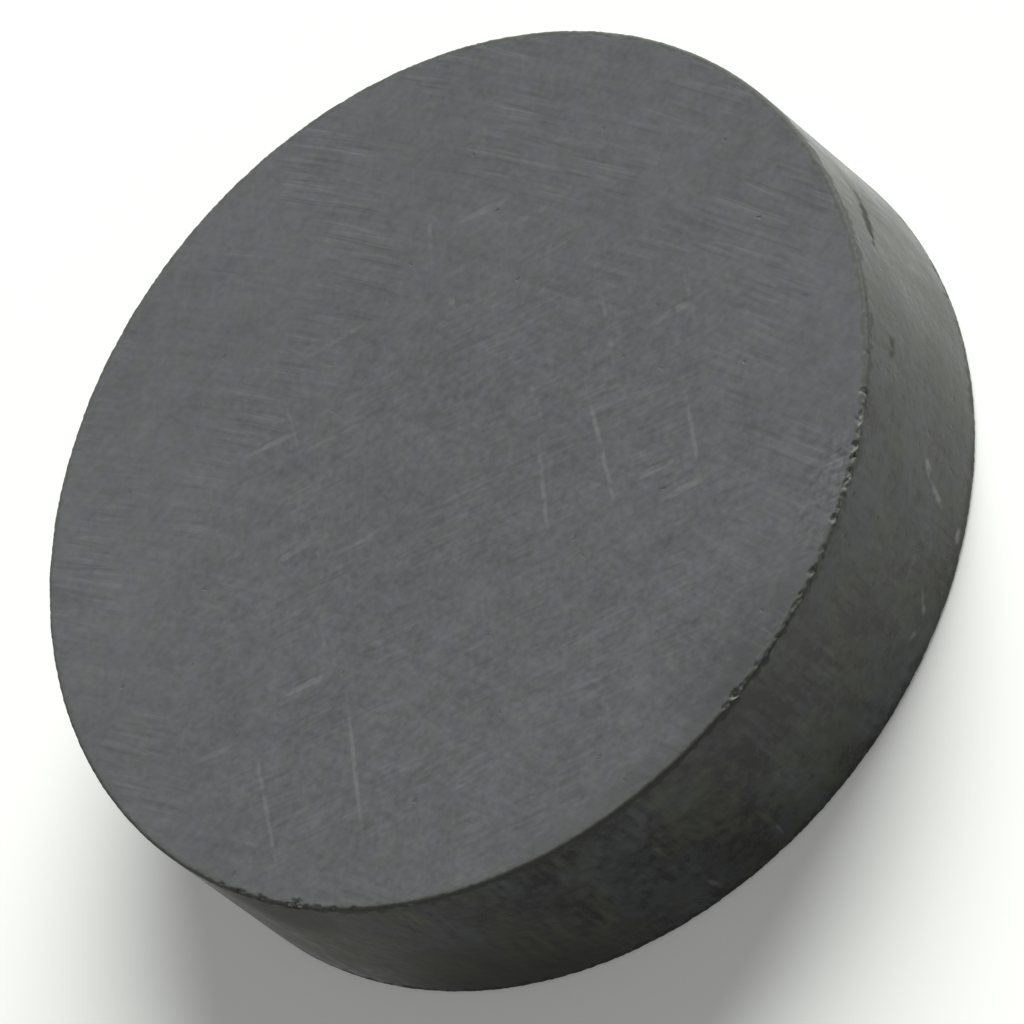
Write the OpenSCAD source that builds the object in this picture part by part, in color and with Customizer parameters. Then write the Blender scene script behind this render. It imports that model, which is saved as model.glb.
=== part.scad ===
// Ferrite disc magnet.
// One pressed and sintered piece of hard ferrite. Both pole faces are ground flat, the side
// wall is as it came from the furnace, and the rims are crisp but lightly chipped.
// The disc lies on its lower pole face. The origin is the centre of that face, +Z runs
// through the thickness, and bearings are degrees from +X towards +Y. Millimetres.

/* [Disc] */
// Diameter of the disc
disc_d = 18; // [8:0.5:60]
// Thickness, from pole face to pole face
disc_t = 4; // [2:0.5:20]
// Radius that handling has worn on both rims
rim_wear = 0.06; // [0.03:0.01:0.12]

/* [Chips] */
// Length of the largest chip, along the rim
chip_length = 0.45; // [0.3:0.05:0.9]
// Depth of the largest chip, measured from the sharp corner along its diagonal
chip_depth = 0.13; // [0.08:0.01:0.2]

/* [Hidden] */

disc_r = disc_d / 2;

// Dark grey of ground hard ferrite
ferrite_grey = "#616264";

// Chips in the upper rim, each with its bearing and its size beside the largest one.
// Two stretches of the front are crumbled and one is at the left, and the rest is whole.
CHIPS = [
    [-51, 0.7], [-56, 0.6], [-60, 1], [-62.5, 0.8],
    [-71, 0.9], [-74, 0.7], [-78, 0.8],
    [-92.5, 0.6], [-105.5, 0.6],
    [-149, 0.6], [-156, 1], [-161, 0.8], [-164.5, 0.7]
];

// Half of the disc's section: a bar out to the wall, a bar up to the faces, and a quarter
// round between them at each rim
module half_section() {
    translate([0, rim_wear]) square([disc_r, disc_t - 2 * rim_wear]);
    square([disc_r - rim_wear, disc_t]);
    for (height = [rim_wear, disc_t - rim_wear])
        translate([disc_r - rim_wear, height]) circle(r = rim_wear, $fn = 32);
}

// Ball that bites one chip out of the upper rim. It cuts the sharp corner over the chip's
// length, and its lowest point lies at the chip's depth.
module chip_ball(bearing, share) {
    half_length = share * chip_length / 2;
    depth = share * chip_depth;
    ball_r = (half_length * half_length + depth * depth) / (2 * depth);
    stand_off = (ball_r - depth) * sin(45);
    rotate([0, 0, bearing])
        translate([disc_r + stand_off, 0, disc_t + stand_off])
            sphere(r = ball_r, $fn = 48);
}

// The whole magnet
module magnet() {
    color(ferrite_grey)
        difference() {
            rotate_extrude($fn = 360) half_section();
            for (chip = CHIPS) chip_ball(chip[0], chip[1]);
        }
}

magnet();
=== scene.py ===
"""A ferrite disc magnet: one pressed and sintered disc, ground on both pole faces.

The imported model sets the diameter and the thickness. This script replaces its plain disc
with a detailed one of the same size, dresses the ground faces and the sintered side wall,
and lights the disc on a pale floor. Lengths are in millimetres where nothing else is said,
and are handed to Blender in metres.
"""
import logging
import math
from dataclasses import dataclass
from enum import Enum
from typing import Iterable, Iterator

import bpy
import numpy as np
from mathutils import Matrix, Vector, noise


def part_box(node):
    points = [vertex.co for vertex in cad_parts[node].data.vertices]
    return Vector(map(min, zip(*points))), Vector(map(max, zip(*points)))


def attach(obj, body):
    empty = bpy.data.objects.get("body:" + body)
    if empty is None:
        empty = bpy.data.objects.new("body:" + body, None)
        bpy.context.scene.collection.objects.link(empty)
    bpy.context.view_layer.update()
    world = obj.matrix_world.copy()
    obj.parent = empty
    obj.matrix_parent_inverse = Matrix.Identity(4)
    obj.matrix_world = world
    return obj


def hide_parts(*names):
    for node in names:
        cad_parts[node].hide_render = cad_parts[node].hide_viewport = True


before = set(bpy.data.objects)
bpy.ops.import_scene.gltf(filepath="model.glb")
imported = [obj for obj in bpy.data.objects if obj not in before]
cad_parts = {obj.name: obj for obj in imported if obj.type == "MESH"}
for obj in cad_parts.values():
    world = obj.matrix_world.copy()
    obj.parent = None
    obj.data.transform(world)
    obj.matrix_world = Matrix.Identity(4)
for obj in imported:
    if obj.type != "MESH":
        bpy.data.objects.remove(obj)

log = logging.getLogger("disc_magnet")

MM = 0.001
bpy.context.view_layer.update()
WEAR_DEPTH = "wear_depth"
SKIN_MAP = "Skin"
TEXTURE_MAP = "OFBake"
NOISE_GAIN = 11.0        # brings the spread of Blender's noise to about 1
ROUNDING = 1e-6          # what a share that should be whole may lack
ORIGIN = (0.0, 0.0, 0.0)
Colour = tuple[float, float, float]
Span = tuple[float, float]
Patch = tuple[tuple[float, float, float], float, float]
Socket = bpy.types.NodeSocket
Sockets = bpy.types.NodeOutputs
Feed = Socket | float | tuple[float, ...]
Results = dict[str, Socket]


class Rim(Enum):
    """The two rims of the disc. The value is the side of the wall that the rim is on."""

    UPPER = 1
    LOWER = -1


class Surface(Enum):
    """The surfaces that are dressed apart. The value is the material's place on the mesh."""

    GROUND = 0
    SINTERED = 1


def placed(name: str, data: bpy.types.ID) -> bpy.types.Object:
    """A new object in the scene, at the origin."""
    made = bpy.data.objects.new(name, data)
    bpy.context.scene.collection.objects.link(made)
    return made


class Side(Enum):
    """The sides of the disc, in the order in which the bands of faces run over them."""

    TOP = 0
    WALL = 1
    BASE = 2


@dataclass(frozen=True)
class Chip:
    """One scoop broken out of a rim.

    Attributes:
        bearing: Where it is, in degrees from +X towards +Y.
        length: Its length along the rim, in millimetres.
        depth: Its depth below the sharp corner, along the diagonal, in millimetres.
        lean: How far the scoop leans, in degrees: above 0 it runs out over the pole
            face, and below 0 down the wall.
    """

    bearing: float
    length: float
    depth: float
    lean: float = 0.0


@dataclass
class RimWear:
    """What handling has done to one rim: an overall raggedness, and chips.

    Attributes:
        rim: The rim that is worn.
        radius: Radius of the disc, in millimetres.
        height: Height of the sharp corner, in millimetres.
        chips: The chips, in the order in which they are broken out.
        ragged: How far the corner wanders inwards, in millimetres.
        reach: How far from the corner the raggedness dies out, in millimetres.
        waves: Coarse waves of the raggedness to the millimetre.
        facets: Facets of a break to the millimetre.
        crumbs: Fine waves, of both, to the millimetre.
        bulge: How far a chip's facets may stand out, in radii of its ball.
    """

    rim: Rim
    radius: float
    height: float
    chips: list[Chip]
    ragged: float = 0.024
    reach: float = 0.16
    waves: float = 2.3
    facets: float = 5.0
    crumbs: float = 13.0
    bulge: float = 1.3

    def wear(self, points: np.ndarray) -> np.ndarray:
        """Moves the points near the rim inwards.

        Args:
            points: Points on the disc's surface, in millimetres. They are changed.

        Returns:
            How far each point moved, in millimetres.
        """
        start = points.copy()
        self._roughen(points)
        for chip in self.chips:
            self._scoop(points, chip)
        return np.linalg.norm(points - start, axis=1)

    def _inwards(self, bearings: np.ndarray, lean: float = 0.0) -> np.ndarray:
        """Unit vectors from the corner into the disc.

        Args:
            bearings: The bearing of each, in radians.
            lean: How far they lean from the diagonal, in degrees.

        Returns:
            One row for each bearing.
        """
        slope = math.radians(45.0 + lean)
        out, up = math.cos(slope), math.sin(slope) * self.rim.value
        return -np.stack(
            [out * np.cos(bearings), out * np.sin(bearings), np.full(bearings.shape, up)], axis=1
        )

    def _roughen(self, points: np.ndarray) -> None:
        """Draws the corner in by a noise that dies out away from it.

        Args:
            points: Points on the disc's surface, in millimetres. They are changed.
        """
        radii = np.hypot(points[:, 0], points[:, 1])
        gaps = np.hypot(radii - self.radius, points[:, 2] - self.height)
        near = np.flatnonzero(gaps < self.reach)
        bearings = np.arctan2(points[near, 1], points[near, 0])
        fade = (1.0 - gaps[near] / self.reach) ** 2
        amounts = np.array([self._raggedness(Vector(p)) for p in points[near]])
        points[near] += self._inwards(bearings) * (self.ragged * fade * amounts)[:, None]

    def _raggedness(self, point: Vector) -> float:
        """From 0 to about 1: coarse waves with finer ones on them."""
        coarse = noise.noise(point * self.waves)
        fine = noise.noise(point * self.crumbs + Vector((7.0, 3.0, 0.0)))
        return max(0.0, 0.45 + 0.6 * coarse + 0.7 * fine)

    def _facet(self, point: Vector, seed: float) -> float:
        """How far a break stands off its ball there, in depths of the chip."""
        coarse = noise.noise(point * self.facets + Vector((seed, 0.0, 0.0)))
        fine = noise.noise(point * self.crumbs + Vector((0.0, seed, 0.0)))
        return 0.9 * (coarse + 0.6 * fine) - 0.1

    def _scoop(self, points: np.ndarray, chip: Chip) -> None:
        """Pushes the points inside one chip's ball onto the ball's inner side.

        Args:
            points: Points on the disc's surface, in millimetres. They are changed.
            chip: The chip.
        """
        half = chip.length / 2
        ball = (half * half + chip.depth * chip.depth) / (2 * chip.depth)
        bearing = np.array([math.radians(chip.bearing)])
        inwards = self._inwards(bearing, chip.lean)[0]
        corner = np.array([self.radius * math.cos(bearing[0]),
                           self.radius * math.sin(bearing[0]), self.height])
        centre = corner - inwards * (ball - chip.depth)
        offsets = points - centre
        gaps = (offsets**2).sum(axis=1)
        for i in np.flatnonzero(gaps < (ball * self.bulge) ** 2):
            facet = self._facet(Vector(points[i]), chip.bearing)
            reach = ball * (1.0 + chip.depth / ball * facet)
            along = -float(offsets[i] @ inwards)
            gap = float(offsets[i] @ offsets[i])
            if gap < reach * reach:
                points[i] += inwards * (along + math.sqrt(reach * reach - (gap - along * along)))


@dataclass(frozen=True)
class Ring:
    """One ring of points: its radius and height in millimetres, and its number of points."""

    radius: float
    height: float
    count: int


@dataclass
class DiscShape:
    """The disc's own shape, before it is dressed.

    Attributes:
        radius: Radius of the disc, in millimetres.
        thickness: Thickness, in millimetres.
        rim_wear: Radius worn on both rims, in millimetres.
        count: Points round the rims.
        inner: The inner rings of a face: share of the radius, and what divides the count.
        back: How far the outer rings of a face lie back from the rim, in millimetres.
        turns: Where the rings of a worn rim lie, in degrees.
        down: How far the outer rings of the wall lie from the rim, in millimetres.
        middle: How far its middle rings lie from the face, in millimetres.
    """

    radius: float
    thickness: float
    rim_wear: float = 0.06
    count: int = 1584
    inner: tuple[tuple[float, int], ...] = (
        (0.16, 8), (0.33, 8), (0.5, 4), (0.66, 4), (0.8, 2), (0.9, 2), (0.943, 2))
    back: tuple[float, ...] = (
        0.36, 0.28, 0.22, 0.175, 0.14, 0.11, 0.085, 0.062, 0.04, 0.02, 0.0)
    turns: tuple[float, ...] = (18.0, 36.0, 54.0, 72.0, 90.0)
    down: tuple[float, ...] = (0.02, 0.04, 0.065, 0.095, 0.13, 0.17, 0.22, 0.29, 0.38)
    middle: tuple[float, ...] = (0.7, 1.2, 1.7)

    def rings(self) -> list[Ring]:
        """Sets out the rings of the whole surface.

        Returns:
            The rings, from the upper pole to the lower one.
        """
        radius, worn, whole = self.radius, self.rim_wear, self.count
        upper = [(radius * share, 0.0, whole // part) for share, part in self.inner]
        upper += [(radius - worn - back, 0.0, whole) for back in self.back]
        upper += [(radius - worn * (1 - math.sin(a)), worn * (1 - math.cos(a)), whole)
                  for a in map(math.radians, self.turns)]
        upper += [(radius, worn + down, whole) for down in self.down]
        upper += [(radius, down, whole // 2) for down in self.middle]
        lower = [row for i, row in enumerate(reversed(upper)) if row[2] < whole or i % 3 != 1]
        rings = [Ring(r, self.thickness - down, n) for r, down, n in upper]
        return rings + [Ring(r, down, n) for r, down, n in lower]

    def points(self, rings: Iterable[Ring]) -> np.ndarray:
        """Sets out every ring's points in turn, then the two poles.

        Args:
            rings: The rings, from the upper pole to the lower one.

        Returns:
            One row for each point, in millimetres.
        """
        rows = []
        for ring in rings:
            turn = np.arange(ring.count) * (2 * math.pi / ring.count)
            rows.append(np.stack([ring.radius * np.cos(turn), ring.radius * np.sin(turn),
                                  np.full(ring.count, ring.height)], axis=1))
        rows.append(np.array([[0.0, 0.0, self.thickness], [0.0, 0.0, 0.0]]))
        return np.concatenate(rows)

    def faces(self, rings: list[Ring]) -> Iterator[tuple[tuple[int, ...], int]]:
        """The faces between the rings.

        Args:
            rings: The rings, from the upper pole to the lower one.

        Yields:
            Each face's points, turning anticlockwise as seen from outside, and the number of
            the band that it is in. Band 0 is the fan at the upper pole.
        """
        starts = np.cumsum([0] + [ring.count for ring in rings])
        upper_pole, lower_pole = int(starts[-1]), int(starts[-1]) + 1
        first, last = rings[0], rings[-1]
        for i in range(first.count):
            yield (upper_pole, i, (i + 1) % first.count), 0
        for band, (above, below) in enumerate(zip(rings, rings[1:]), start=1):
            a, b = int(starts[band - 1]), int(starts[band])
            yield from (
                (face, band) for face in self._band(a, above.count, b, below.count)
            )
        start = int(starts[-2])
        for i in range(last.count):
            yield (lower_pole, start + (i + 1) % last.count, start + i), len(rings)

    def _band(self, a: int, above: int, b: int, below: int) -> Iterator[tuple[int, ...]]:
        """The faces between two rings.

        Args:
            a: The first point of the upper ring.
            above: How many points the upper ring has.
            b: The first point of the lower ring.
            below: How many points the lower ring has.

        Yields:
            Each face's points, turning anticlockwise as seen from outside.
        """
        if above == below:
            for i in range(above):
                j = (i + 1) % above
                yield a + i, b + i, b + j, a + j
            return
        opens = below > above
        coarse, fine = (a, b) if opens else (b, a)
        count = min(above, below)
        for i in range(count):
            j = (i + 1) % count
            first, middle, last = fine + 2 * i, fine + 2 * i + 1, fine + 2 * j
            for face in ((coarse + i, first, middle), (coarse + i, middle, coarse + j),
                         (coarse + j, middle, last)):
                yield face if opens else face[::-1]


class Sheet:
    """Lays nodes on one node tree and links them."""

    def __init__(self, tree: bpy.types.NodeTree) -> None:
        """Starts with a tree whose nodes may already hold a shader or a group's ends."""
        self.tree = tree

    def node(self, kind: str, feeds: dict[str | int, Feed] | None = None,
             **settings: object) -> bpy.types.Node:
        """Adds one node.

        Args:
            kind: Blender's name for the node's type.
            feeds: What each input gets: another node's output, or a plain value.
            **settings: The node's own properties.

        Returns:
            The node.
        """
        made = self.tree.nodes.new(kind)
        for name, value in settings.items():
            setattr(made, name, value)
        for name, feed in (feeds or {}).items():
            self.feed(made.inputs[name], feed)
        return made

    def feed(self, socket: Socket, feed: Feed) -> None:
        """Links an output to a socket, or sets the socket's plain value.

        Args:
            socket: The socket.
            feed: Another node's output, or a plain value.
        """
        if isinstance(feed, Socket):
            self.tree.links.new(feed, socket)
        else:
            socket.default_value = feed

    def math(self, operation: str, *feeds: Feed, clamp: bool = False) -> Socket:
        """The result of a sum on numbers."""
        made = self.node("ShaderNodeMath", dict(enumerate(feeds)), operation=operation,
                         use_clamp=clamp)
        return made.outputs[0]

    def times(self, first: Feed, second: Feed) -> Socket:
        """The product of two numbers."""
        return self.math("MULTIPLY", first, second)

    def plus(self, first: Feed, second: Feed) -> Socket:
        """The sum of two numbers."""
        return self.math("ADD", first, second)

    def vector(self, operation: str, *feeds: Feed, scale: Feed | None = None,
               number: bool = False) -> Socket:
        """A sum on vectors.

        Args:
            operation: Blender's name for it.
            *feeds: The vectors.
            scale: The number that a vector is multiplied by, if it is.
            number: Whether the result is a number, such as a length.

        Returns:
            The result.
        """
        made = self.node("ShaderNodeVectorMath", dict(enumerate(feeds)), operation=operation)
        if scale is not None:
            self.feed(made.inputs["Scale"], scale)
        return made.outputs["Value" if number else "Vector"]

    def parts(self, vector: Socket) -> Sockets:
        """The three numbers of a vector."""
        return self.node("ShaderNodeSeparateXYZ", {0: vector}).outputs

    def join(self, x: Feed, y: Feed, z: Feed = 0.0) -> Socket:
        """A vector of three numbers."""
        return self.node("ShaderNodeCombineXYZ", {0: x, 1: y, 2: z}).outputs[0]

    def cells(self, place: Socket, size: Feed) -> Socket:
        """A place counted in cells of one size."""
        return self.vector("SCALE", place, scale=self.math("DIVIDE", 1.0, size))

    def noise(self, place: Socket, detail: Feed, rough: float) -> Socket:
        """A smooth noise about 0 with a spread of about 1, in cells of one unit."""
        waves = self.node("ShaderNodeTexNoise", {
            "Vector": place, "Scale": 1.0, "Detail": detail, "Roughness": rough})
        return self.times(self.math("SUBTRACT", waves.outputs[0], 0.5), NOISE_GAIN)

    def rise(self, value: Feed, low: Feed, high: Feed) -> Socket:
        """From 0 at low to 1 at high, with smooth ends. High may lie below low."""
        made = self.node("ShaderNodeMapRange", {"Value": value, "From Min": low, "From Max": high},
                         interpolation_type="SMOOTHSTEP")
        return made.outputs["Result"]

    def blend(self, share: Feed, first: Feed, second: Feed) -> Socket:
        """The first number, with a share of the second mixed in."""
        return self.plus(first, self.times(share, self.math("SUBTRACT", second, first)))

    def mix(self, share: Feed, first: Feed, second: Feed) -> Socket:
        """Mixes two colours.

        Args:
            share: The share of the second.
            first: The first colour.
            second: The second colour.

        Returns:
            The colour.
        """
        made = self.node("ShaderNodeMix", data_type="RGBA")
        for name, feed in (("Factor_Float", share), ("A_Color", first), ("B_Color", second)):
            socket = next(s for s in made.inputs if s.identifier == name)
            self.feed(socket, feed if isinstance(feed, (float, Socket)) else (*feed, 1.0))
        return next(s for s in made.outputs if s.identifier == "Result_Color")


class Effect:
    """A shader effect as a node group, built once and placed with its own values.

    Attributes:
        name: The group's name.
        takes: Its inputs, with the value that each has until it is given another.
        gives: Its outputs.
        kind: The type of its outputs.
    """

    name: str = ""
    takes: dict[str, float | tuple[float, ...]] = {}
    gives: tuple[str, ...] = ()
    kind: str = "NodeSocketFloat"

    @classmethod
    def group(cls) -> bpy.types.NodeTree:
        """Finds the effect's node group, or builds it the first time.

        Returns:
            The group.
        """
        made = bpy.data.node_groups.get(cls.name)
        if made is not None:
            return made
        made = bpy.data.node_groups.new(cls.name, "ShaderNodeTree")
        for name, value in cls.takes.items():
            kind = "NodeSocketFloat" if isinstance(value, float) else "NodeSocketVector"
            made.interface.new_socket(name, in_out="INPUT", socket_type=kind).default_value = value
        for name in cls.gives:
            made.interface.new_socket(name, in_out="OUTPUT", socket_type=cls.kind)
        sheet = Sheet(made)
        given = sheet.node("NodeGroupInput").outputs
        ends = sheet.node("NodeGroupOutput").inputs
        for name, result in cls.lay(sheet, given).items():
            sheet.feed(ends[name], result)
        return made

    @classmethod
    def lay(cls, sheet: Sheet, given: Sockets) -> Results:
        """Lays the group's nodes.

        Args:
            sheet: The group's own sheet.
            given: The group's inputs, by name.

        Returns:
            What each output gets.
        """
        raise NotImplementedError

    @classmethod
    def place(cls, sheet: Sheet, **values: Feed) -> Sockets:
        """Places the effect in a material or in another effect.

        Args:
            sheet: The sheet of the material or of the other effect.
            **values: The inputs that get a value, by their names in small letters.

        Returns:
            The outputs, by name.
        """
        made = sheet.node("ShaderNodeGroup", node_tree=cls.group())
        for name, value in values.items():
            sheet.feed(made.inputs[name.capitalize()], value)
        return made.outputs


class Stretch(Effect):
    """Fine marks drawn out along one axis, as grit in a wheel or the wall of a die leaves them."""

    name = "Stretched marks"
    takes = {"Place": ORIGIN, "Mark": (0.1, 1.0, 0.1), "Patch": 1.5, "Seed": 0.0}
    gives = ("Height",)
    seed_step = (3.7, 5.3, 7.9)     # how far each seed moves the noise, in cells

    @classmethod
    def lay(cls, sheet: Sheet, given: Sockets) -> Results:
        """A noise in cells of one mark's size, of which the stronger half shows, in patches.

        Args:
            sheet: The group's own sheet.
            given: The group's inputs, by name.

        Returns:
            The height.
        """
        shift = sheet.vector("SCALE", cls.seed_step, scale=given["Seed"])
        cells = sheet.vector("ADD", sheet.vector("DIVIDE", given["Place"], given["Mark"]), shift)
        waves = sheet.noise(cells, detail=1.0, rough=0.6)
        marks = sheet.times(waves, sheet.rise(sheet.math("ABSOLUTE", waves), 0.3, 1.2))
        patches = sheet.noise(sheet.cells(given["Place"], given["Patch"]), detail=0.0, rough=0.5)
        return {"Height": sheet.times(marks, sheet.plus(sheet.rise(patches, -0.6, 1.0), 0.3))}


class WheelPath(Effect):
    """Places measured along the arcs that a wheel turning about a far axis cuts."""

    name = "Wheel path"
    takes = {"Place": ORIGIN, "Axis": (-40.0, 0.0, 0.0)}
    gives = ("Path",)
    kind = "NodeSocketVector"

    @classmethod
    def lay(cls, sheet: Sheet, given: Sockets) -> Results:
        """The distance from the axis, the way along the arc, and the height.

        Args:
            sheet: The group's own sheet.
            given: The group's inputs, by name.

        Returns:
            The path.
        """
        gap = sheet.parts(sheet.vector("SUBTRACT", given["Place"], given["Axis"]))
        arm = sheet.vector("LENGTH", sheet.join(gap[0], gap[1]), number=True)
        swing = sheet.math("ARCTAN2", gap[1], gap[0])
        reach = sheet.vector("LENGTH", given["Axis"], number=True)
        return {"Path": sheet.join(arm, sheet.times(swing, reach), gap[2])}


class Cloud(Effect):
    """Soft patches with finer ones in them."""

    name = "Cloud"
    takes = {"Place": ORIGIN, "Size": 1.0, "Seed": 0.0, "Detail": 1.0}
    gives = ("Height",)
    seed_step = (5.1, 2.9, 8.3)     # how far each seed moves the noise, in cells

    @classmethod
    def lay(cls, sheet: Sheet, given: Sockets) -> Results:
        """A noise with one finer octave, or more."""
        shift = sheet.vector("SCALE", cls.seed_step, scale=given["Seed"])
        cells = sheet.vector("ADD", sheet.cells(given["Place"], given["Size"]), shift)
        return {"Height": sheet.noise(cells, given["Detail"], 0.55)}


class Pits(Effect):
    """Small pores, each where the centre of a cell lies near the surface."""

    name = "Pits"
    takes = {"Place": ORIGIN, "Spacing": 0.8, "Size": 0.06}
    gives = ("Mask",)
    uneven = 0.25       # how far a pore's edge wanders, in its sizes
    core = 0.3          # how far from its centre it is full, in its sizes

    @classmethod
    def lay(cls, sheet: Sheet, given: Sockets) -> Results:
        """Uneven balls round the centres of a cell pattern, cut by the surface.

        Args:
            sheet: The group's own sheet.
            given: The group's inputs, by name.

        Returns:
            The mask.
        """
        cells = sheet.node("ShaderNodeTexVoronoi", {
            "Vector": given["Place"], "Scale": sheet.math("DIVIDE", 1.0, given["Spacing"])})
        waves = sheet.noise(sheet.cells(given["Place"], given["Size"]), detail=1.0, rough=0.5)
        uneven = sheet.times(sheet.times(waves, given["Size"]), cls.uneven)
        gap = sheet.plus(uneven, sheet.times(cells.outputs["Distance"], given["Spacing"]))
        return {"Mask": sheet.rise(gap, given["Size"], sheet.times(given["Size"], cls.core))}


class SoftSpot(Effect):
    """A round patch at a given place, full in its core and fading out to its edge."""

    name = "Soft spot"
    takes = {"Place": ORIGIN, "Centre": ORIGIN, "Size": 3.0, "Core": 0.0}
    gives = ("Mask",)

    @classmethod
    def lay(cls, sheet: Sheet, given: Sockets) -> Results:
        """Falls with the distance from the centre."""
        gap = sheet.vector("DISTANCE", given["Place"], given["Centre"], number=True)
        return {"Mask": sheet.rise(gap, given["Size"], given["Core"])}


class RimBand(Effect):
    """A ragged band along the rims, on the pole faces and on the wall alike."""

    name = "Rim band"
    takes = {"Place": ORIGIN, "Radius": 9.0, "Thickness": 4.0, "Width": 0.1, "Ragged": 0.5,
             "Patch": 0.3}
    gives = ("Mask",)
    outer = 1.25        # widths from the corner at which the band has faded out
    inner = 0.6         # widths from the corner up to which it is full
    thinnest = 0.001    # the least width

    @classmethod
    def lay(cls, sheet: Sheet, given: Sockets) -> Results:
        """How near the surface is to the corner that a rim would have if it were sharp.

        Args:
            sheet: The group's own sheet.
            given: The group's inputs, by name.

        Returns:
            The mask.
        """
        spot = sheet.parts(given["Place"])
        flat = sheet.vector("MULTIPLY", given["Place"], (1.0, 1.0, 0.0))
        out = sheet.vector("LENGTH", flat, number=True)
        inset = sheet.math("SUBTRACT", given["Radius"], out)
        edge = sheet.math("MINIMUM", spot[2], sheet.math("SUBTRACT", given["Thickness"], spot[2]))
        gap = sheet.math("SQRT", sheet.plus(sheet.times(inset, inset), sheet.times(edge, edge)))
        patches = Cloud.place(sheet, place=given["Place"], size=given["Patch"])["Height"]
        swell = sheet.plus(sheet.times(patches, given["Ragged"]), 1.0)
        width = sheet.math("MAXIMUM", sheet.times(given["Width"], swell), cls.thinnest)
        return {"Mask": sheet.rise(gap, sheet.times(width, cls.outer),
                                   sheet.times(width, cls.inner))}


class Mark(Effect):
    """One scratch, stroke or smear at a given place on the unrolled skin."""

    name = "Mark"
    takes = {"Skin": ORIGIN, "Centre": ORIGIN, "Turn": ORIGIN, "Half": (1.0, 0.1, 1.0)}
    gives = ("Mask",)

    @classmethod
    def lay(cls, sheet: Sheet, given: Sockets) -> Results:
        """A long thin ellipse, full in its middle and fading out to its edge.

        Args:
            sheet: The group's own sheet.
            given: The group's inputs, by name.

        Returns:
            The mask.
        """
        spot = sheet.node("ShaderNodeMapping", {
            "Vector": given["Skin"], "Location": given["Centre"], "Rotation": given["Turn"],
            "Scale": given["Half"]}, vector_type="TEXTURE").outputs[0]
        cone = sheet.node("ShaderNodeTexGradient", {"Vector": spot}, gradient_type="SPHERICAL")
        return {"Mask": sheet.rise(cone.outputs["Fac"], 0.0, 0.7)}


class Fracture(Effect):
    """Where the skin has broken away, and how the bare grain glints there, or is dark with grime
    and painted shade.
    """

    name = "Fracture"
    takes = {"Place": ORIGIN, "Grain": 0.08, "Least": 0.016}
    gives = ("Mask", "Glint", "Grime and shade")
    glints = (-0.2, 1.5)      # levels of the grain at which a glint begins and is full
    grime_and_shade_levels = (-0.8, -2.0)     # the same for grime and painted shade

    @classmethod
    def lay(cls, sheet: Sheet, given: Sockets) -> Results:
        """Reads the depth of wear that the mesh holds, in millimetres.

        Args:
            sheet: The group's own sheet.
            given: The group's inputs, by name.

        Returns:
            The mask, and where the grain glints and where it is dark with grime and painted shade.
        """
        worn = sheet.node("ShaderNodeAttribute", attribute_name=WEAR_DEPTH).outputs["Fac"]
        grain = Cloud.place(sheet, place=given["Place"], size=given["Grain"], seed=9.0)["Height"]
        most = sheet.times(given["Least"], 3.0)
        return {"Mask": sheet.rise(worn, given["Least"], most),
                "Glint": sheet.rise(grain, *cls.glints), "Grime and shade": sheet.rise(grain, *cls.grime_and_shade_levels)}


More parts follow.
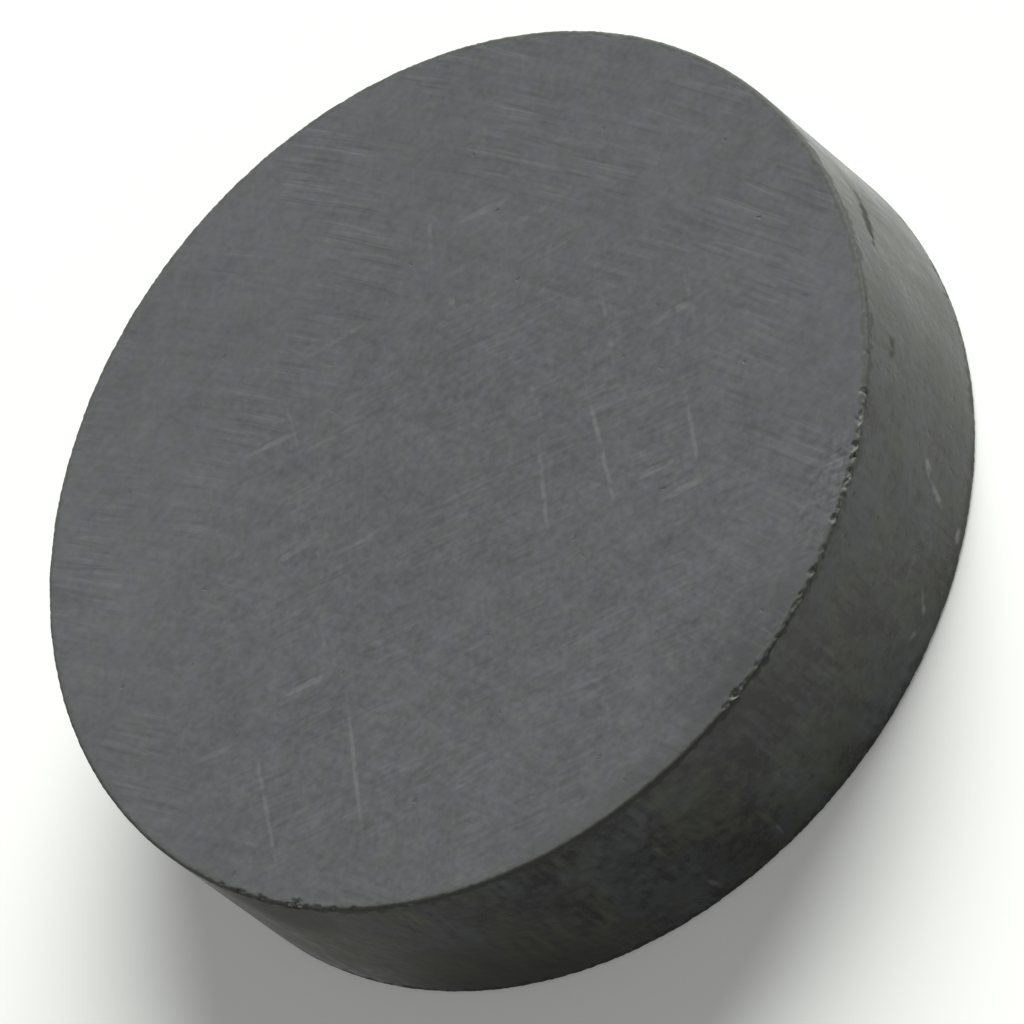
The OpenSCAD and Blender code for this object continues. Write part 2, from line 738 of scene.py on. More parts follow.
class Layers:
    """The colour, roughness and height of a finish, as its layers are laid on.

    Attributes:
        sheet: The material's sheet.
        place: Place on the disc, in millimetres.
        skin: Place on the unrolled skin, in millimetres.
        tone: What the colour is multiplied by.
        height: Height above the skin, in millimetres.
        colour: The colour so far.
        roughness: The roughness so far.
    """

    def __init__(self, sheet: Sheet, colour: Colour, roughness: float) -> None:
        """Starts with an even skin.

        Args:
            sheet: The material's sheet.
            colour: The colour of the skin.
            roughness: The roughness of the skin.
        """
        self.sheet = sheet
        spot = sheet.node("ShaderNodeTexCoord").outputs["Object"]
        self.place = sheet.vector("SCALE", spot, scale=1.0 / MM)
        self.skin = sheet.node("ShaderNodeUVMap", uv_map=SKIN_MAP).outputs[0]
        self.tone: Feed = 1.0
        self.height: Feed = 0.0
        self.colour: Feed = colour
        self.roughness: Feed = roughness

    def path(self, axis: Feed) -> Socket:
        """Place along the arcs of a wheel that turns about an axis."""
        return WheelPath.place(self.sheet, place=self.place, axis=axis)["Path"]

    def marks(self, place: Socket, mark: Feed, patch: float, seed: float = 0.0) -> Socket:
        """Stretched marks, with their size and their patches' size in millimetres."""
        return Stretch.place(self.sheet, place=place, mark=mark, patch=patch, seed=seed)["Height"]

    def cloud(self, size: float, seed: float, detail: float = 1.0) -> Socket:
        """Soft patches all over, of a size in millimetres."""
        return Cloud.place(self.sheet, place=self.place, size=size, seed=seed,
                           detail=detail)["Height"]

    def pits(self, size: float, spacing: float) -> Socket:
        """Pores all over, with their size and spacing in millimetres."""
        return Pits.place(self.sheet, place=self.place, spacing=spacing, size=size)["Mask"]

    def spot(self, centre: Feed, size: float, core: float = 0.0) -> Socket:
        """One round patch, with its size and core in millimetres."""
        return SoftSpot.place(self.sheet, place=self.place, centre=centre, size=size,
                              core=core)["Mask"]

    def vary(self, value: Socket, share: Feed = 1.0, tone: float = 0.0, height: float = 0.0,
             roughness: float = 0.0) -> None:
        """Lets a value over the surface vary the skin.

        Args:
            value: The value.
            share: What the value is multiplied by first.
            tone: Share of the colour that a value of 1 adds.
            height: Height that a value of 1 adds, in millimetres.
            roughness: Roughness that a value of 1 adds.
        """
        if share != 1.0:
            value = self.sheet.times(value, share)
        if tone:
            self.tone = self._added(self.tone, value, tone)
        if height:
            self.height = self._added(self.height, value, height)
        if roughness:
            self.roughness = self._added(self.roughness, value, roughness)

    def tint(self, share: Socket, first: Colour, second: Colour) -> None:
        """Gives the colour its tone, and one of two tints or something between them."""
        toned = self.sheet.vector("SCALE", self.colour, scale=self.tone)
        self.colour = self.sheet.vector("MULTIPLY", toned, self.sheet.mix(share, first, second))

    def cover(self, mask: Socket, colour: Feed, strength: Feed = 1.0,
              roughness: float | None = None) -> None:
        """Covers the skin.

        Args:
            mask: Where, from 0 to 1.
            colour: The new colour.
            strength: How much of it shows where the mask is 1.
            roughness: The new roughness, where it changes.
        """
        share = self.sheet.math("MULTIPLY", mask, strength, clamp=True)
        self.colour = self.sheet.mix(share, self.colour, colour)
        if roughness is not None:
            self.roughness = self.sheet.blend(share, self.roughness, roughness)

    def _added(self, total: Feed, value: Socket, amount: float) -> Socket:
        """The total with the value times the amount on it."""
        return self.sheet.plus(total, self.sheet.times(value, amount))


@dataclass(frozen=True)
class Scratch:
    """A scratch or streak on the skin.

    Attributes:
        centre: Its middle on the unrolled skin, in millimetres.
        bearing: Its direction there, in degrees.
        length: Its length, in millimetres.
        width: Half its width, in millimetres.
        strength: How much of its colour shows.
        groove: How deep it is, in millimetres, or below 0 how high.
        pale: Whether it is paler than the skin.
    """

    centre: tuple[float, float]
    bearing: float
    length: float
    width: float
    strength: float = 1.0
    groove: float = 0.0
    pale: bool = True

    def mask(self, layers: Layers) -> Socket:
        """Where it lies on the skin, from 0 to 1."""
        return Mark.place(layers.sheet, skin=layers.skin, centre=(*self.centre, 0.0),
                          turn=(0.0, 0.0, math.radians(self.bearing)),
                          half=(self.length / 2, self.width, 1.0))["Mask"]


@dataclass(frozen=True)
class FerriteFinish:
    """What the ground faces and the sintered wall have in common.

    Attributes:
        radius: Radius of the disc, in millimetres.
        thickness: Thickness of the disc, in millimetres.
        colour: The skin's colour.
        roughness: The skin's roughness.
        pale: The colour of pale scratches and of grain that glints.
        dark: The colour of pores, dark streaks and the rim's grime, and of painted shade.
        bare: The colour of a fresh break.
        rubbed: The colour of the rim where it is rubbed round.
        worn_roughness: The roughness of rims, breaks and streaks.
        ior: Index of refraction, which sets the gloss.
        scratches: Marks at given places.
        patches: Wide soft patches, each with its centre, its size in millimetres, and the
            share of the colour that it adds.
    """

    radius: float
    thickness: float
    colour: Colour
    roughness: float
    pale: Colour = (0.22, 0.225, 0.215)
    dark: Colour = (0.014, 0.015, 0.011)
    bare: Colour = (0.125, 0.13, 0.118)
    rubbed: Colour = (0.062, 0.066, 0.056)
    worn_roughness: float = 0.95
    ior: float = 1.47
    scratches: tuple[Scratch, ...] = ()
    patches: tuple[Patch, ...] = ()

    def material(self) -> bpy.types.Material:
        """Builds the finish.

        Returns:
            The finish as a material.
        """
        made = bpy.data.materials.new(type(self).__name__)
        made.use_nodes = True
        shader = made.node_tree.nodes["Principled BSDF"]
        shader.inputs["IOR"].default_value = self.ior
        sheet = Sheet(made.node_tree)
        layers = Layers(sheet, self.colour, self.roughness)
        # Patches of tone; those on the wall are painted light and shade.
        for centre, size, tone in self.patches:
            layers.vary(layers.spot(centre, size), tone=tone)
        self.skin(layers)
        self._scratch(layers)
        self.rim(layers)
        broken = Fracture.place(sheet, place=layers.place)
        # Broken grain: dark in places with grime and painted shade, pale where it glints.
        bare = sheet.mix(broken["Grime and shade"], self.bare, self.dark)
        bare = sheet.mix(broken["Glint"], bare, self.pale)
        layers.cover(broken["Mask"], bare, 1.0, self.worn_roughness)
        sheet.feed(shader.inputs["Base Color"], layers.colour)
        sheet.feed(shader.inputs["Roughness"], layers.roughness)
        bump = sheet.node("ShaderNodeBump", {"Height": layers.height, "Distance": MM})
        sheet.feed(shader.inputs["Normal"], bump.outputs[0])
        return made

    def skin(self, layers: Layers) -> None:
        """Lays on what the skin has away from the rims."""
        raise NotImplementedError

    def rim(self, layers: Layers) -> None:
        """Lays on the rims' wear, grime and painted shade."""
        raise NotImplementedError

    def _scratch(self, layers: Layers) -> None:
        """Lays on the scratches and streaks, with one noise to break them all up.

        Args:
            layers: The layers so far.
        """
        sheet = layers.sheet
        pale: Feed = 0.0
        dark: Feed = 0.0
        cut: Feed = 0.0
        for scratch in self.scratches:
            mask = scratch.mask(layers)
            if scratch.pale:
                pale = sheet.math("MULTIPLY_ADD", mask, scratch.strength, pale)
            else:
                dark = sheet.math("MULTIPLY_ADD", mask, scratch.strength, dark)
            if scratch.groove:
                cut = sheet.math("MULTIPLY_ADD", mask, scratch.groove, cut)
        breaks = Cloud.place(sheet, place=layers.skin, size=0.3, seed=3.0)["Height"]
        left = sheet.math("MULTIPLY_ADD", breaks, 0.55, 0.65, clamp=True)
        layers.height = sheet.math("SUBTRACT", layers.height, cut)
        layers.cover(sheet.times(pale, left), self.pale)
        layers.cover(sheet.times(dark, left), self.dark, 1.0, self.worn_roughness)

    def _band(self, layers: Layers, colour: Feed, strength: Feed, **sizes: float) -> None:
        """Lays a rough band along both rims.

        Args:
            layers: The layers so far.
            colour: Its colour.
            strength: How much of it shows.
            **sizes: Its width, how ragged it is, and the size of its patches.
        """
        band = RimBand.place(layers.sheet, place=layers.place, radius=self.radius,
                             thickness=self.thickness, **sizes)["Mask"]
        layers.cover(band, colour, strength, self.worn_roughness)


@dataclass(frozen=True)
class GroundFinish(FerriteFinish):
    """The pole faces: ground flat by a wheel, mid grey, and a little cool.

    Attributes:
        wheel_axis: Where the grinding wheel's axis stood, in millimetres.
        hatch_axis: The same for a second, fainter pass.
        hatched: Where the second pass shows most: its middle, how far it reaches, and the
            share of the first pass that it leaves.
        torn: Where the rim has pulled grain out of the face.
        dust_and_shade_spot: Where dusting and painted shade darken the face along the rim: middle,
            reach and core.
    """

    colour: Colour = (0.0703, 0.0724, 0.0761)
    rubbed: Colour = (0.078, 0.082, 0.074)
    roughness: float = 0.45
    wheel_axis: tuple[float, float, float] = (-60.0, -18.0, 0.0)
    hatch_axis: tuple[float, float, float] = (-225.0, -330.0, 0.0)
    hatched: Patch = ((-1.5, -2.4, 4.0), 8.4, 0.4)
    patches: tuple[Patch, ...] = (
        ((-5.0, 5.0, 4.0), 4.5, 0.15), ((0.0, -0.5, 4.0), 6.0, -0.05), ((1.5, 7.5, 4.0), 4.0, 0.1),
        ((6.5, -4.5, 4.0), 3.5, 0.06), ((0.3, -9.3, 4.0), 2.8, -0.5),
        ((-2.6, -9.1, 4.0), 1.4, -0.35), ((2.7, -9.0, 4.0), 1.0, -0.4),
        ((8.85, -1.6, 4.0), 0.7, -0.22), ((8.5, -2.9, 4.0), 0.6, -0.18),
        ((8.0, -4.1, 4.0), 0.5, -0.12),
    )
    torn: Scratch = Scratch((3.9, -7.8), 26.0, 3.6, 0.95)
    dust_and_shade_spot: Patch = ((-1.1, -8.9, 4.0), 5.6, 3.0)

    def skin(self, layers: Layers) -> None:
        """Grinding marks of two passes, a fine grain, pores, torn edges and faint tints.

        Args:
            layers: The layers so far.
        """
        sheet = layers.sheet
        middle, reach, left = self.hatched
        zone = layers.spot(middle, reach, core=reach / 2)
        ground = sheet.blend(zone, 1.0, left)
        mottled = sheet.blend(zone, 1.0, 1.5)
        path = layers.path(self.wheel_axis)
        coarse = layers.marks(path, mark=(0.24, 2.4, 0.3), patch=1.8)
        fine = layers.marks(path, mark=(0.12, 1.0, 0.2), patch=1.1, seed=4.0)
        layers.vary(coarse, ground, tone=0.03, height=0.0014)
        layers.vary(fine, ground, tone=0.03)
        cross = layers.path(self.hatch_axis)
        hatch = layers.marks(cross, mark=(0.19, 1.4, 0.3), patch=0.9, seed=8.0)
        layers.vary(hatch, zone, tone=0.03, height=0.001)
        grain = layers.cloud(0.15, seed=5.0, detail=2.0)
        blotch = layers.cloud(0.45, seed=6.0, detail=2.0)
        wide = layers.cloud(1.4, seed=7.0)
        pits = layers.pits(0.06, spacing=0.9)
        layers.vary(grain, mottled, tone=0.045, roughness=0.02)
        layers.vary(blotch, mottled, tone=0.04, height=0.0006)
        layers.vary(wide, tone=0.03)
        layers.vary(pits, height=-0.004)
        torn = self.torn.mask(layers)
        layers.vary(hatch, torn, tone=0.16, height=0.0022)
        layers.vary(grain, torn, tone=0.12)
        tint = layers.cloud(0.45, seed=11.0)
        layers.tint(sheet.rise(tint, -2.0, 2.0), (0.985, 1.0, 0.955), (0.995, 1.0, 1.045))
        layers.cover(pits, self.dark, 0.4)

    def rim(self, layers: Layers) -> None:
        """A dark band of dusting and painted shade along one stretch, and one where the edge is
        rubbed round.
        """
        dust_and_shade = layers.sheet.times(layers.spot(*self.dust_and_shade_spot), 0.32)
        self._band(layers, self.dark, dust_and_shade, width=0.6, ragged=0.35, patch=0.5)
        self._band(layers, self.rubbed, 0.95, width=0.13, ragged=0.22, patch=0.2)


@dataclass(frozen=True)
class SinteredFinish(FerriteFinish):
    """The side wall: as it left the die and the furnace, darker and more olive.

    Attributes:
        grime_and_shade_spot: Where the rims are dark with grime and painted shade, on the side away
            from the light: the middle, how far it reaches, and its core.
        weathered: Where the mottling is strongest: middle, reach and core.
        calm: The share of the mottling that the rest of the wall has.
        painted_shade_spots: Where the wall is darkened with painted shade, at its foot on the
            front-left and near its top at the far left: middle, reach and core of each place.
        tints: Patches that lean to the cool tint, or below 0 to the olive one.
    """

    colour: Colour = (0.0225, 0.0245, 0.0215)
    pale: Colour = (0.3, 0.3, 0.275)
    roughness: float = 0.33
    grime_and_shade_spot: Patch = ((-5.2, -7.4, 2.0), 9.2, 6.2)
    weathered: Patch = ((-2.6, -8.6, 2.0), 12.0, 7.0)
    calm: float = 0.4
    # Painted light and shade, in place of the floor and its shadow as the wall reflects them:
    # lighter at the foot and darker at the top along the front, darker at the foot on the
    # front-left, darker high and lighter low at the far left.
    patches: tuple[Patch, ...] = (
        ((-0.8, -9.0, 0.2), 2.2, 1.0), ((1.6, -8.9, 0.2), 1.6, 0.5), ((-0.8, -9.0, 3.9), 2.4, -0.5),
        ((1.5, -8.9, 3.9), 2.0, -0.4), ((-6.2, -6.5, 0.3), 2.6, -0.6),
        ((-8.7, -2.3, 3.8), 2.2, -0.6), ((-8.9, -1.7, 0.8), 1.5, 1.3),
    )
    painted_shade_spots: tuple[Patch, ...] = (
        ((-6.8, -5.9, -0.4), 3.2, 0.9), ((-8.5, -3.0, 4.0), 1.9, 0.6),
    )
    tints: tuple[Patch, ...] = (
        ((4.2, -7.9, 2.8), 2.4, 1.6), ((-3.9, -8.1, 2.0), 1.6, 1.4), ((-2.3, -8.7, 2.0), 1.2, -1.2),
        ((-5.5, -7.1, 0.8), 1.8, -1.4), ((6.3, -6.4, 2.4), 3.0, 0.8),
        ((-7.9, -4.3, 2.0), 3.6, -1.8),
    )

    def skin(self, layers: Layers) -> None:
        """The die's streaks, mottling, pores and patches of olive and grey, and spots of painted
        shade.

        Args:
            layers: The layers so far.
        """
        sheet = layers.sheet
        streaks = layers.marks(layers.place, mark=(0.16, 0.16, 0.9), patch=1.2)
        mottle = layers.cloud(0.2, seed=5.0, detail=2.0)
        blotch = layers.cloud(0.6, seed=6.0, detail=2.0)
        wide = layers.cloud(1.7, seed=7.0)
        pits = layers.pits(0.08, spacing=0.6)
        share = sheet.blend(layers.spot(*self.weathered), self.calm, 1.0)
        layers.vary(streaks, share, tone=0.24)
        layers.vary(mottle, share, tone=0.27, roughness=0.03)
        layers.vary(blotch, share, tone=0.25, roughness=0.035)
        layers.vary(wide, share, tone=0.2)
        layers.vary(streaks, roughness=0.02)
        layers.vary(mottle, height=0.0007)
        layers.vary(blotch, height=0.0016)
        layers.vary(wide, height=0.0045, roughness=0.03)
        layers.vary(pits, height=-0.005)
        tint = sheet.times(layers.cloud(1.3, seed=11.0), share)
        for centre, size, lean in self.tints:
            tint = sheet.plus(tint, sheet.times(layers.spot(centre, size), lean))
        layers.tint(sheet.rise(tint, -1.5, 1.5), (0.98, 1.0, 0.64), (0.99, 1.0, 1.2))
        layers.cover(pits, self.dark, 0.7)
        # Painted shade, dark and rough, at the wall's foot and near its top on the left.
        for patch in self.painted_shade_spots:
            layers.cover(layers.spot(*patch), self.dark, 0.5, self.worn_roughness)

    def rim(self, layers: Layers) -> None:
        """A band along the worn edge: dark with grime and painted shade on the side away from the
        light, and rubbed elsewhere.
        """
        # Grime with painted shade on the side away from the light.
        colour = layers.sheet.mix(layers.spot(*self.grime_and_shade_spot), self.rubbed, self.dark)
        self._band(layers, colour, 0.75, width=0.15, ragged=0.35, patch=0.25)


@dataclass
class Skin:
    """The disc's surface laid out flat, once for marks in millimetres and once for textures.

    Attributes:
        shape: The disc's shape.
        rings: Its rings.
        scale: Share of the texture's width that a millimetre takes.
        sectors: How many strips the wall is cut into, which lie in two columns.
        middles: Where the middles of the two faces lie on the texture, both ways.
        margin: What stays free along the texture's edges, as a share of its width.
        gap: What stays free between two strips.
    """

    shape: DiscShape
    rings: list[Ring]
    scale: float = 0.0322
    sectors: int = 6
    middles: tuple[float, float] = (0.2935, 0.7065)
    margin: float = 0.004
    gap: float = 0.006

    def __post_init__(self) -> None:
        """Works out the run of each ring, from the upper pole over the rims to the lower one."""
        worn = self.shape.rim_wear
        quarter = worn * math.pi / 2
        self.bend = self.shape.radius - worn + quarter / 2
        self.wall = self.shape.thickness - 2 * worn + quarter
        radii = np.array([ring.radius for ring in self.rings])
        heights = np.array([ring.height for ring in self.rings])
        steps = np.hypot(np.diff(radii), np.diff(heights))
        self.runs = radii[0] + np.concatenate([[0.0], np.cumsum(steps)])
        self.whole = float(self.runs[-1]) + radii[-1]

    def surfaces(self) -> np.ndarray:
        """Finds the side that each band of faces is on.

        Returns:
            The sides' values, from the upper pole to the lower one.
        """
        middles = (self.runs[:-1] + self.runs[1:]) / 2
        sides = (middles > self.bend).astype(int) + (middles > self.whole - self.bend)
        return np.concatenate([[Side.TOP.value], sides, [Side.BASE.value]])

    def lay(self, mesh: bpy.types.Mesh, sides: np.ndarray) -> None:
        """Adds both layouts to the mesh.

        Args:
            mesh: The disc's mesh.
            sides: The side that each of its faces is on.
        """
        corners = np.empty(len(mesh.loops), np.int32)
        mesh.loops.foreach_get("vertex_index", corners)
        counts = np.empty(len(mesh.polygons), np.int32)
        mesh.polygons.foreach_get("loop_total", counts)
        owners = np.repeat(np.arange(len(counts)), counts)
        turns = np.concatenate([np.arange(r.count) / r.count for r in self.rings] + [[0.0, 0.0]])
        runs = np.concatenate([np.full(r.count, run) for r, run in zip(self.rings, self.runs)]
                              + [[0.0, self.whole]])
        turn, run = turns[corners], runs[corners]
        flat, packed = np.zeros((len(corners), 2)), np.zeros((len(corners), 2))
        shifts = (0.0, 4 * self.shape.radius)
        for side, middle, shift in zip((Side.TOP, Side.BASE), self.middles, shifts):
            here = sides[owners] == side.value
            out = np.minimum(run[here], self.whole - run[here])
            angle = turn[here] * 2 * math.pi
            spot = out[:, None] * np.stack([np.cos(angle), np.sin(angle)], axis=1)
            flat[here] = spot + shift
            packed[here] = spot * self.scale + middle
        here = sides[owners] == Side.WALL.value
        first, last = np.full(len(counts), 2.0), np.full(len(counts), -1.0)
        np.minimum.at(first, owners[here], turn[here])
        np.maximum.at(last, owners[here], turn[here])
        wraps = last - first > 0.5
        start = np.where(wraps, last, first)[owners[here]]
        turn = turn[here] + (wraps[owners[here]] & (turn[here] < 0.5))
        down = run[here] - self.bend
        girth = 2 * math.pi * self.shape.radius
        flat[here, 0] = (turn - (start >= 0.5)) * girth
        flat[here, 1] = self.shape.thickness - down - self.shape.rim_wear * (1 - math.sqrt(0.5))
        sector = np.floor(start * self.sectors + ROUNDING)
        column, row = sector % 2, sector // 2
        strip = self.wall * self.scale + self.gap
        near, far = self.margin, 1.0 - self.margin
        left = np.where(column == 0, near, far - girth * self.scale / self.sectors)
        base = np.where(column == 0, far - (row + 1) * strip, near + row * strip)
        packed[here, 0] = left + (turn - sector / self.sectors) * girth * self.scale
        packed[here, 1] = base + down * self.scale
        for name, spots in ((TEXTURE_MAP, packed), (SKIN_MAP, flat)):
            layer = mesh.uv_layers.new(name=name, do_init=False)
            layer.data.foreach_set("uv", spots.astype(np.float32).ravel())


@dataclass
class Magnet:
    """The magnet: one disc, its worn rims and its finishes.

    Attributes:
        shape: The disc's shape.
        wear: The wear of each rim.
        finishes: The finish of each surface.
    """

    shape: DiscShape
    wear: list[RimWear]
    finishes: dict[Surface, FerriteFinish]

    def build(self) -> bpy.types.Object:
        """Builds the disc as one closed mesh, and dresses it.

        Returns:
            The disc.
        """
        rings = self.shape.rings()
        points = self.shape.points(rings)
        rows = list(self.shape.faces(rings))
        depths = sum(rim.wear(points) for rim in self.wear)
        mesh = bpy.data.meshes.new("ferrite_disc")
        mesh.from_pydata((points * MM).tolist(), [], [face for face, _ in rows])
        skin = Skin(self.shape, rings)
        sides = skin.surfaces()[[band for _, band in rows]]
        skin.lay(mesh, sides)
        kinds = np.where(sides == Side.WALL.value, Surface.SINTERED.value, Surface.GROUND.value)
        mesh.polygons.foreach_set("material_index", kinds.astype(np.int32))
        for surface in Surface:
            mesh.materials.append(self.finishes[surface].material())
        depth = mesh.attributes.new(WEAR_DEPTH, "FLOAT", "POINT")
        depth.data.foreach_set("value", depths.astype(np.float32))
        mesh.shade_smooth()
        mesh.update()
        piece = placed("ferrite_disc", mesh)
        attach(piece, "root")
        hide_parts("magnet")
        log.info("%s: %d faces, %d chips", piece.name, len(rows),
                 sum(len(rim.chips) for rim in self.wear))
        return piece


@dataclass(frozen=True)
class Studio:
    """A pale floor under soft light.

    Attributes:
        world_level: Strength of the light from all round.
        key_level: What the key light adds on a level surface.
        key_bearing: Where the key light comes from, in degrees from +X towards +Y.
        key_elevation: How high it stands, in degrees.
        key_softness: How wide it looks from the disc, in degrees.
        floor_colour: The floor's colour.
        floor_glow: What is added to the floor where it is seen, so that it shows white.
        floor_half: Half the floor's side, in metres.
        floor_drop: How far the floor lies below the disc, in millimetres.
    """

    world_level: float = 0.17
    key_level: float = 0.82
    key_bearing: float = 33.0
    key_elevation: float = 27.0
    key_softness: float = 45.0
    floor_colour: Colour = (0.885, 0.905, 0.86)
    floor_glow: float = 0.15
    floor_half: float = 1.5
    floor_drop: float = 0.01

    def build(self) -> None:
        """Builds the floor, the world and the key light."""
        half = self.floor_half
        mesh = bpy.data.meshes.new("floor")
        mesh.from_pydata([(-half, -half, 0.0), (half, -half, 0.0), (half, half, 0.0),
                          (-half, half, 0.0)], [], [(0, 1, 2, 3)])
        mesh.materials.append(self._floor_material())
        floor = placed("floor", mesh)
        floor.location.z = -self.floor_drop * MM
        self._world()
        self._key()

    def _seen(self, sheet: Sheet) -> Socket:
        """Finds the rays that show the background, to the camera or in a reflection.

        Args:
            sheet: The sheet of the floor or of the world.

        Returns:
            1 on those rays, and 0 on others.
        """
        path = sheet.node("ShaderNodeLightPath").outputs
        seen = sheet.math("MAXIMUM", path["Is Camera Ray"], path["Is Glossy Ray"])
        return sheet.math("MAXIMUM", seen, path["Is Transmission Ray"])

    def _floor_material(self) -> bpy.types.Material:
        """Builds a matt pale card.

        Returns:
            The card.
        """
        made = bpy.data.materials.new("floor_card")
        made.use_nodes = True
        sheet = Sheet(made.node_tree)
        shader = made.node_tree.nodes["Principled BSDF"]
        shader.inputs["Base Color"].default_value = (*self.floor_colour, 1.0)
        shader.inputs["Roughness"].default_value = 1.0
        shader.inputs["Specular IOR Level"].default_value = 0.0
        shader.inputs["Emission Color"].default_value = (1.0, 1.0, 1.0, 1.0)
        glow = sheet.times(self._seen(sheet), self.floor_glow)
        sheet.feed(shader.inputs["Emission Strength"], glow)
        return made

    def _world(self) -> None:
        """White where it is seen, and at its own level where it lights."""
        world = bpy.data.worlds.new("studio")
        bpy.context.scene.world = world
        world.use_nodes = True
        sheet = Sheet(world.node_tree)
        background = world.node_tree.nodes["Background"]
        background.inputs["Color"].default_value = (1.0, 1.0, 1.0, 1.0)
        lift = sheet.times(self._seen(sheet), 1.0 - self.world_level)
        sheet.feed(background.inputs["Strength"], sheet.plus(lift, self.world_level))

    def _key(self) -> None:
        """One wide soft light from the side."""
        bearing, elevation = math.radians(self.key_bearing), math.radians(self.key_elevation)
        lamp = bpy.data.lights.new("key", "SUN")
        lamp.energy = self.key_level * math.pi / math.sin(elevation)
        lamp.angle = math.radians(self.key_softness)
        key = placed("key", lamp)
        towards = Vector((math.cos(bearing) * math.cos(elevation),
                          math.sin(bearing) * math.cos(elevation), math.sin(elevation)))
        key.location = towards * self.floor_half
        key.rotation_euler = towards.to_track_quat("Z", "Y").to_euler()


@dataclass(frozen=True)
class Viewpoint:
    """Where the camera stands: in front of the disc and above it, and rolled.

    Attributes:
        elevation: How high it stands, in degrees.
        roll: How far it is turned about its own axis, in degrees.
        distance: How far it is from the disc's centre, in metres.
        lens: Focal length in millimetres, for a sensor 36 mm wide.
        aside: How far the camera stands to its own right and up, in millimetres.
    """

    elevation: float = 48.15
    roll: float = -52.12
    distance: float = 0.2304
    lens: float = 432.04
    aside: tuple[float, float] = (0.0957, -0.0769)

    def build(self, centre: Vector) -> None:
        """Makes the scene's camera.

        Args:
            centre: The point that it looks at, in metres.
        """
        elevation, roll = math.radians(self.elevation), math.radians(self.roll)
        back = Vector((0.0, -math.cos(elevation), math.sin(elevation)))
        level = Vector((1.0, 0.0, 0.0))
        upright = back.cross(level)
        right = level * math.cos(roll) + upright * math.sin(roll)
        up = upright * math.cos(roll) - level * math.sin(roll)
        lens = bpy.data.cameras.new("camera")
        lens.sensor_width = 36.0
        lens.lens = self.lens
        lens.clip_start = 0.01
        camera = placed("camera", lens)
        stand = centre + back * self.distance
        stand += (right * self.aside[0] + up * self.aside[1]) * MM
        turn = Matrix((right, up, back)).transposed().to_4x4()
        camera.matrix_world = Matrix.Translation(stand) @ turn
        bpy.context.scene.camera = camera


SEED = 18
ALL_ROUND = (-180.0, 180.0)
LEANS = (-30.0, 35.0)
# Its length and depth.
LARGEST_CHIP = (0.48, 0.095)
# For each, the bearing in degrees, and its size as a share of the largest.
LARGE_CHIPS = ((-51, 0.7), (-56, 0.6), (-60, 1.0), (-62.5, 0.8), (-71, 0.9), (-74, 0.7),
               (-78, 0.8), (-92.5, 0.6), (-105.5, 0.6), (-149, 0.6), (-156, 1.0),
               (-161, 0.8), (-164.5, 0.7))
# For each stretch, its first and last bearing, the number of chips, and the longest one.
CRUMBLED = (((-47.0, -34.0), 6, 0.24), ((-67.0, -48.0), 50, 0.32), ((-93.0, -67.0), 80, 0.29),
            ((-168.0, -146.0), 34, 0.2))


def scattered(rng: np.random.Generator, count: int, stretch: Span, sizes: Span,
              shares: Span = (0.14, 0.28)) -> list[Chip]:
    """Small chips at random places.

    Args:
        rng: Where the random numbers come from.
        count: How many.
        stretch: The first and the last bearing, in degrees.
        sizes: The least and the greatest length, in millimetres.
        shares: The least and the greatest depth, as shares of the length.

    Returns:
        The chips.
    """
    chips = []
    for _ in range(count):
        length = rng.uniform(*sizes)
        chips.append(Chip(rng.uniform(*stretch), length, length * rng.uniform(*shares),
                          rng.uniform(*LEANS)))
    return chips


def upper_chips(rng: np.random.Generator) -> list[Chip]:
    """The large chips of the upper rim, then small ones, which crowd in four stretches.

    Args:
        rng: Where the random numbers come from.

    Returns:
        The chips.
    """
    chips = [Chip(bearing, share * LARGEST_CHIP[0], share * LARGEST_CHIP[1])
             for bearing, share in LARGE_CHIPS]
    chips += scattered(rng, 110, ALL_ROUND, (0.06, 0.15))
    for stretch, count, longest in CRUMBLED:
        chips += scattered(rng, count, stretch, (0.08, longest), (0.17, 0.29))
    return chips


def scratches(rows: Iterable[tuple[float, ...]], **kind: float | bool) -> tuple[Scratch, ...]:
    """Scratches of one kind.

    Args:
        rows: For each, the middle both ways, and then the fields from bearing to strength.
        **kind: The fields that all of them share.

    Returns:
        The scratches.
    """
    return tuple(Scratch((x, y), *rest, **kind) for x, y, *rest in rows)


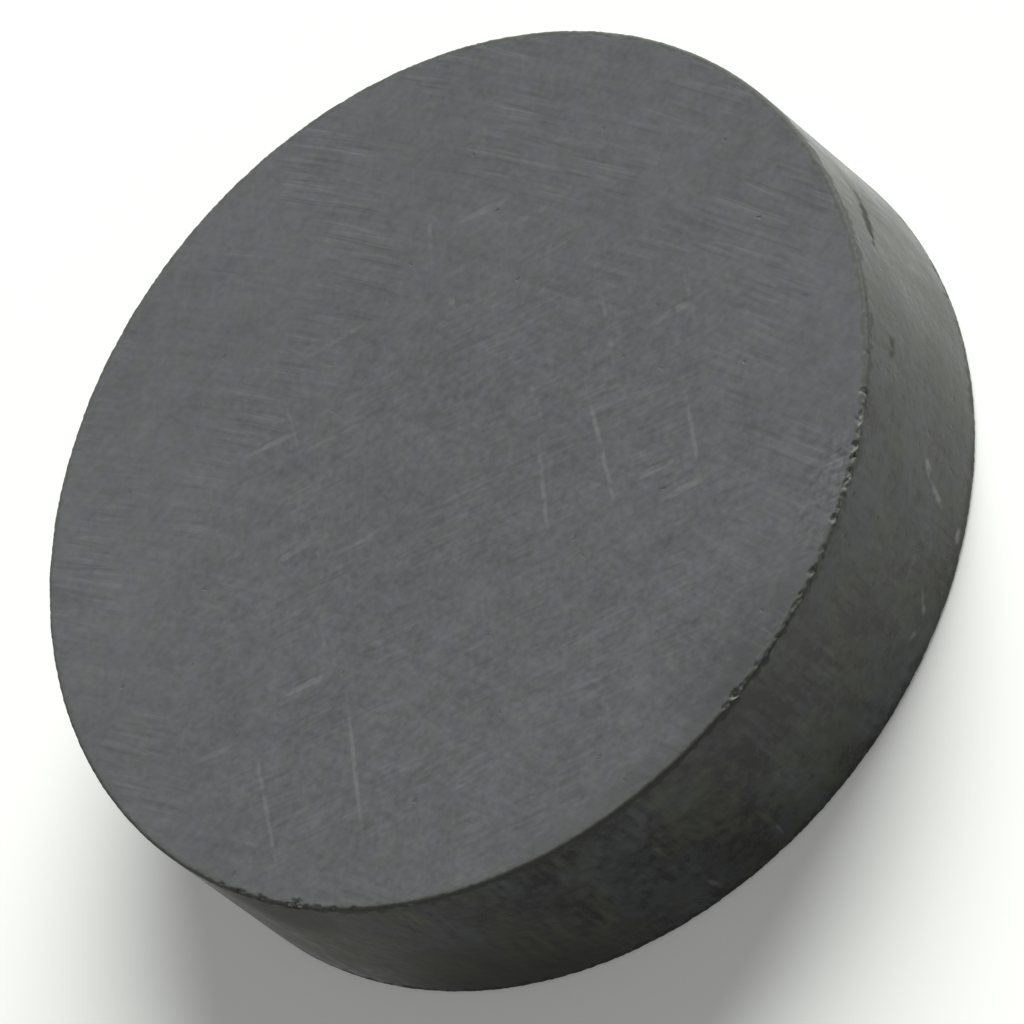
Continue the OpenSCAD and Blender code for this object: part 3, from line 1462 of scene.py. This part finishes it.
FACE_SCRATCHES = scratches((
    (-7.1, -1.6, 57.0, 3.7, 0.07, 0.24), (-5.5, -2.75, 53.0, 3.5, 0.07, 0.26),
    (-4.1, -0.3, 55.0, 2.2, 0.065, 0.2), (-2.7, 1.5, 60.0, 1.5, 0.06, 0.14),
    (-1.25, 3.8, 62.0, 1.7, 0.065, 0.18), (0.7, -2.2, 52.0, 2.8, 0.075, 0.26),
    (1.9, -0.7, 60.0, 1.4, 0.09, 0.26), (1.9, -2.8, 59.0, 4.1, 0.075, 0.28),
    (3.1, -4.4, 56.0, 3.2, 0.07, 0.22), (3.8, -1.0, 56.0, 1.9, 0.075, 0.2),
    (5.2, -2.1, 59.0, 1.6, 0.06, 0.16), (3.1, 3.9, 50.0, 1.3, 0.075, 0.24),
    (2.35, 2.4, 52.0, 0.7, 0.11, 0.24), (-3.9, -1.5, -31.0, 2.1, 0.09, 0.14),
    (-6.95, 0.2, -34.0, 1.4, 0.09, 0.16), (-6.3, -3.3, -30.0, 1.6, 0.1, 0.16),
    (-5.9, -4.3, -32.0, 1.4, 0.09, 0.12), (-1.8, 0.4, -27.0, 3.0, 0.08, 0.1),
    (-1.0, 2.8, -32.0, 1.6, 0.09, 0.14), (0.55, 4.2, -29.0, 2.2, 0.08, 0.18),
    (0.0, 2.95, -29.0, 2.6, 0.09, 0.12), (4.7, 2.2, -32.0, 1.2, 0.1, 0.18),
    (1.2, -3.1, -34.0, 1.0, 0.09, 0.12),
)) + scratches((
    (-4.85, -0.55, -33.0, 1.4, 0.11, 0.22), (-3.15, 1.8, -27.0, 1.3, 0.1, 0.2),
    (-1.75, 3.9, -34.0, 1.4, 0.1, 0.18), (4.15, 3.3, -34.0, 1.4, 0.12, 0.22),
    (4.9, -2.1, -27.0, 1.7, 0.11, 0.2), (2.2, -4.05, -32.0, 1.3, 0.11, 0.2),
    (2.25, -4.9, -32.0, 1.3, 0.11, 0.2),
), groove=0.004) + scratches((
    (0.5, 2.3, -31.0, 2.2, 0.14, 0.14), (-1.4, 1.5, -31.0, 1.8, 0.14, 0.12),
    (6.5, -4.45, -62.0, 0.6, 0.06, 0.4), (0.65, 7.87, 20.0, 0.25, 0.08, 0.6),
), pale=False) + scratches((
    (4.4, 1.35, -30.0, 1.6, 0.12, 0.2),
), groove=0.004, pale=False)
WALL_SCRATCHES = scratches((
    (-17.3, 0.55, 98.0, 0.6, 0.08, 0.3), (-17.3, 3.35, 85.0, 0.72, 0.16, 0.06),
    (-15.7, 0.72, 83.0, 0.9, 0.045, 0.35), (-10.8, 0.62, 41.0, 0.84, 0.08, 0.35),
    (-11.2, 0.53, -17.0, 0.84, 0.08, 0.35), (-8.41, 1.6, 33.0, 0.9, 0.11, 0.36),
    (-8.8, 1.16, 63.0, 0.9, 0.11, 0.36), (-10.1, 1.38, 2.0, 1.32, 0.1, 0.1),
    (-9.2, 0.25, 0.0, 0.42, 0.12, 0.4), (-9.4, 0.32, 0.0, 13.2, 0.25, 0.05),
)) + scratches((
    (-3.4, 2.88, -13.0, 2.1, 0.22, 0.9), (-4.1, 3.02, -18.0, 0.72, 0.1, 0.7),
    (-6.6, 3.1, -12.0, 0.84, 0.2, 0.6), (-16.6, 2.35, 91.0, 1.8, 0.1, 0.5),
), pale=False)


def main() -> None:
    """Builds the disc, the floor, the light and the camera."""
    logging.basicConfig(level=logging.INFO, format="%(name)s: %(message)s")
    bpy.context.scene.view_settings.view_transform = "Standard"
    low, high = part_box("magnet")
    radius = min(high[0], high[1], -low[0], -low[1]) / MM
    thickness = (high[2] - low[2]) / MM
    rng = np.random.default_rng(SEED)
    upper = RimWear(Rim.UPPER, radius, thickness, upper_chips(rng))
    lower = RimWear(Rim.LOWER, radius, 0.0, scattered(rng, 90, ALL_ROUND, (0.07, 0.22)))
    Magnet(
        DiscShape(radius, thickness),
        [upper, lower],
        {Surface.GROUND: GroundFinish(radius, thickness, scratches=FACE_SCRATCHES),
         Surface.SINTERED: SinteredFinish(radius, thickness, scratches=WALL_SCRATCHES)},
    ).build()
    Studio().build()
    Viewpoint().build(Vector((0.0, 0.0, thickness / 2 * MM)))


if __name__ == "__main__":
    main()
